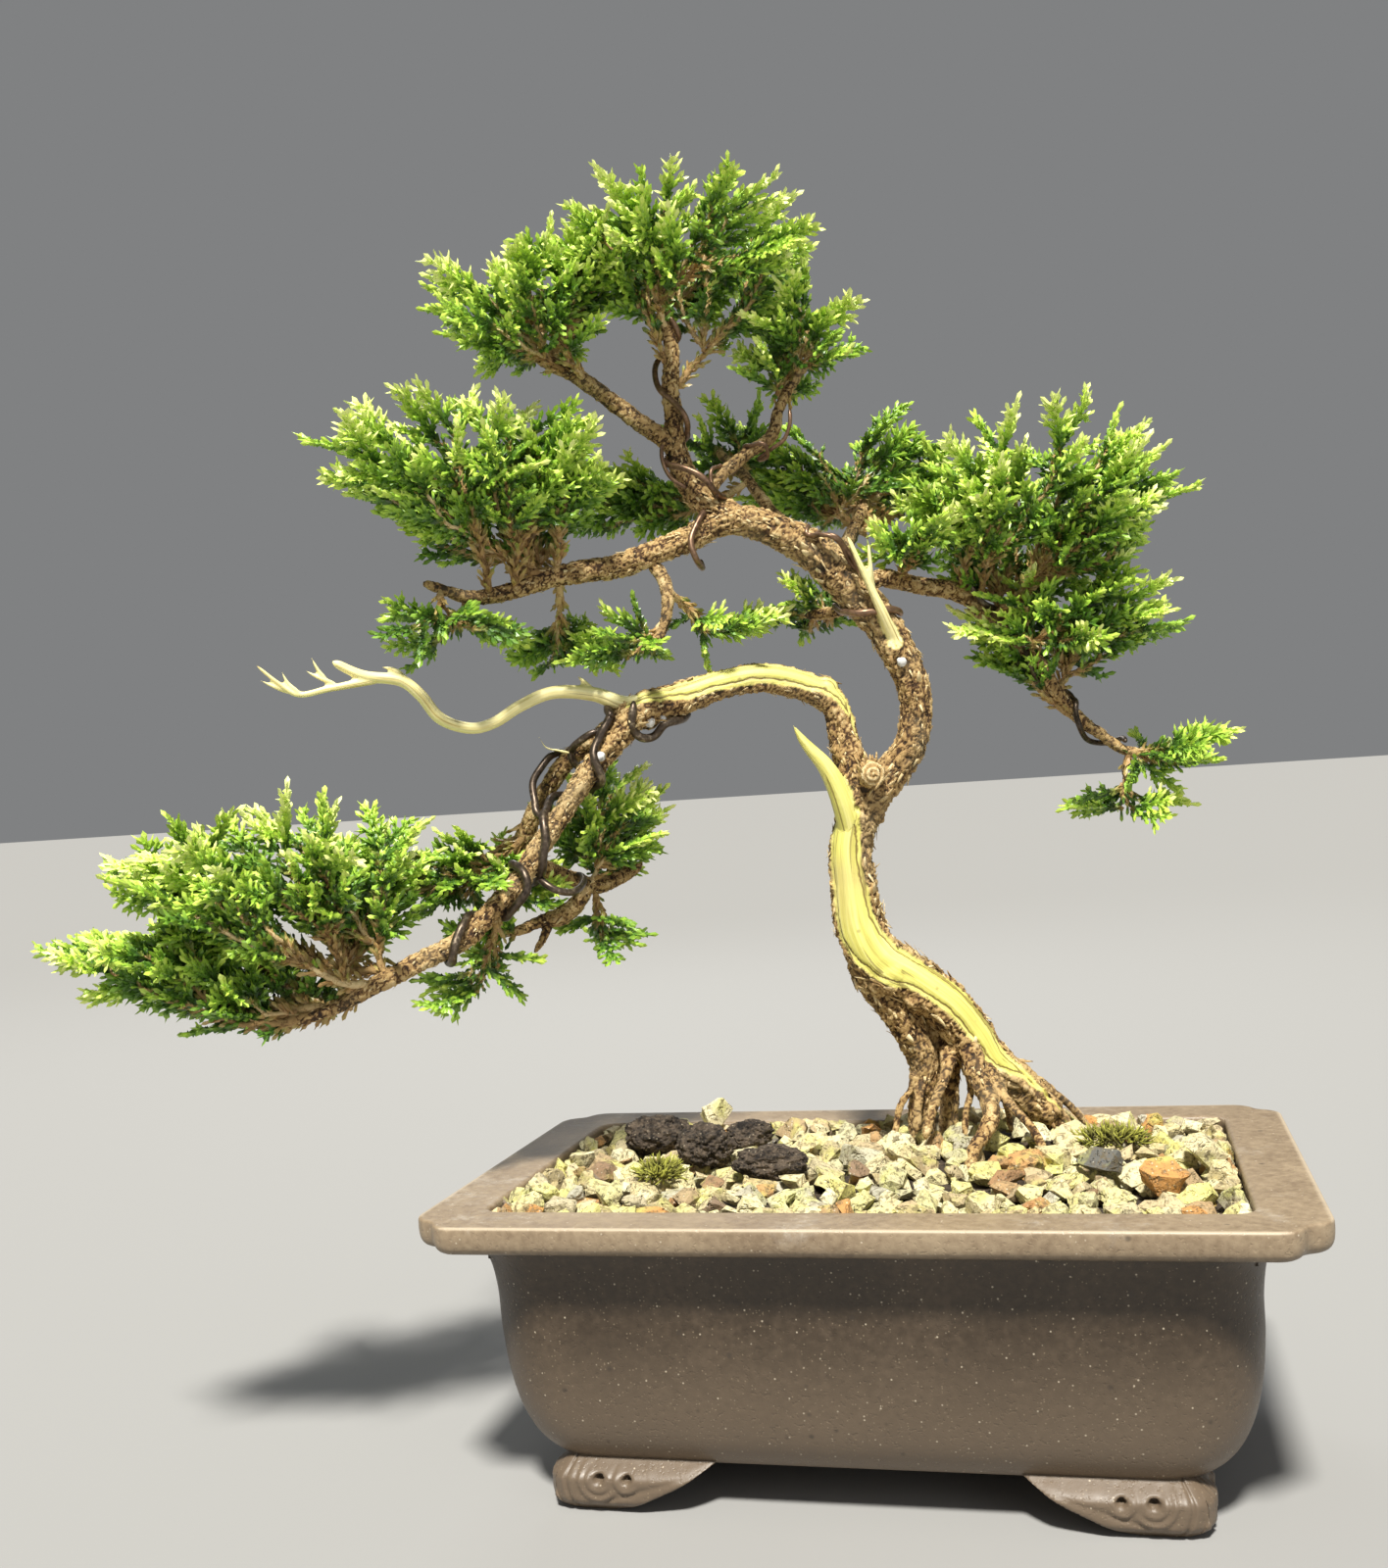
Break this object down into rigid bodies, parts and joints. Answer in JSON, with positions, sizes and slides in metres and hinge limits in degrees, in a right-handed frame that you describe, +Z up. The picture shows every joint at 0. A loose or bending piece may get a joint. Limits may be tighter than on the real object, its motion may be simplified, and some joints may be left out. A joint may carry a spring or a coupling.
{
  "type": "bonsai tree in a pot",
  "caption": "Small juniper bonsai with a cascading left limb, wired branches and bare deadwood, in a rectangular footed stoneware pot with grit top dressing.",
  "frame": {"origin": "centre of the underside of the box round the pot and the tree, on the plane that the pot's feet stand on", "axes": "+Z up, +X along the pot's long side, away from the cascading limb, +Y from the tree's front to its back"},
  "size_m": [0.309, 0.1662, 0.3415],
  "materials": {
    "stoneware": "unglazed grey-brown stoneware, smooth with a low sheen and fine pale specks",
    "bark": "flaky fibrous bark, with a smooth yellow strip of bare wood up the trunk",
    "deadwood": "bare weathered wood, matt",
    "foliage": "scale leaves, bright green at the tips, deep green inside",
    "grit": "broken stone, dry and matt",
    "soil": "dark crumbly potting mix",
    "fertiliser": "black-brown crumbly organic cake",
    "moss": "low soft moss",
    "screen": "moulded plastic mesh",
    "wire": "anodised dark bronze wire"
  },
  "bodies": {
    "root": {"apex_leader": "bark", "apex_left_branch": "bark", "apex_right_branch": "bark", "back_branch": "bark", "back_right_branch": "bark", "cascade_back_branch": "bark", "cascade_branch": "bark", "cascade_limb": "bark", "cascade_side_branch": "bark", "dead_branch": "deadwood", "drain_screen_left": "screen", "drain_screen_right": "screen", "fertiliser_cake_1": "fertiliser", "fertiliser_cake_2": "fertiliser", "fertiliser_cake_3": "fertiliser", "fertiliser_cake_4": "fertiliser", "foliage_apex_centre": "foliage", "foliage_apex_left": "foliage", "foliage_apex_right": "foliage", "foliage_back": "foliage", "foliage_back_left": "foliage", "foliage_back_low": "foliage", "foliage_cascade_middle": "foliage", "foliage_cascade_right": "foliage", "foliage_cascade_tip": "foliage", "foliage_cascade_tongue": "foliage", "foliage_cascade_underside": "foliage", "foliage_left": "foliage", "foliage_left_low": "foliage", "foliage_right": "foliage", "foliage_right_low": "foliage", "foliage_right_tip": "foliage", "foliage_under_left": "foliage", "foliage_under_right": "foliage", "grit_layer": "grit", "left_branch": "bark", "low_back_twig": "bark", "moss_left": "moss", "moss_right": "moss", "pot": "stoneware", "right_branch": "bark", "soil": "soil", "stone_grey": "grit", "stone_pale": "grit", "stone_rust": "grit", "stone_sand": "grit", "stone_slate": "grit", "trunk": "bark", "upper_limb": "bark", "wire_apex": "wire", "wire_apex_right": "wire", "wire_cascade": "wire", "wire_cascade_back": "wire", "wire_cascade_side": "wire", "wire_left_branch": "wire", "wire_right_branch": "wire", "wire_upper_limb": "wire"}
  },
  "joints": []
}
